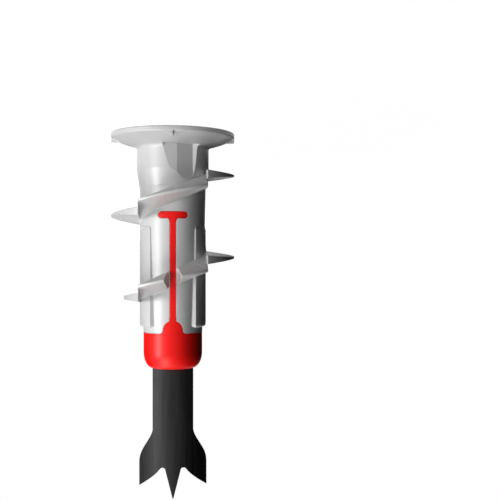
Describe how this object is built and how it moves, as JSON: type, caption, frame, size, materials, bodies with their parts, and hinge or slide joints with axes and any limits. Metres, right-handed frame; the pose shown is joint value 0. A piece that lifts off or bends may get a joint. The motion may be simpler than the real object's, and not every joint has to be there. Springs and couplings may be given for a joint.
{
  "type": "self-drilling drywall anchor",
  "caption": "Self-drilling plasterboard plug with a round flange, a coarse interrupted thread, a collar moulded into its slots and a flat drill blade.",
  "frame": {"origin": "centre of the flange's flat head face, which the part stands on", "axes": "+Z along the screw axis from the head to the drill point, -Y towards the front, X across the blade"},
  "size_m": [0.0148, 0.0148, 0.044],
  "materials": {
    "grey_plastic": "satin moulded light grey",
    "red_plastic": "smooth moulded red",
    "black_steel": "blackened sheet steel, finely brushed"
  },
  "bodies": {
    "root": {"anchor_body": "grey_plastic", "expansion_insert": "red_plastic", "drill_blade": "black_steel"}
  },
  "joints": []
}
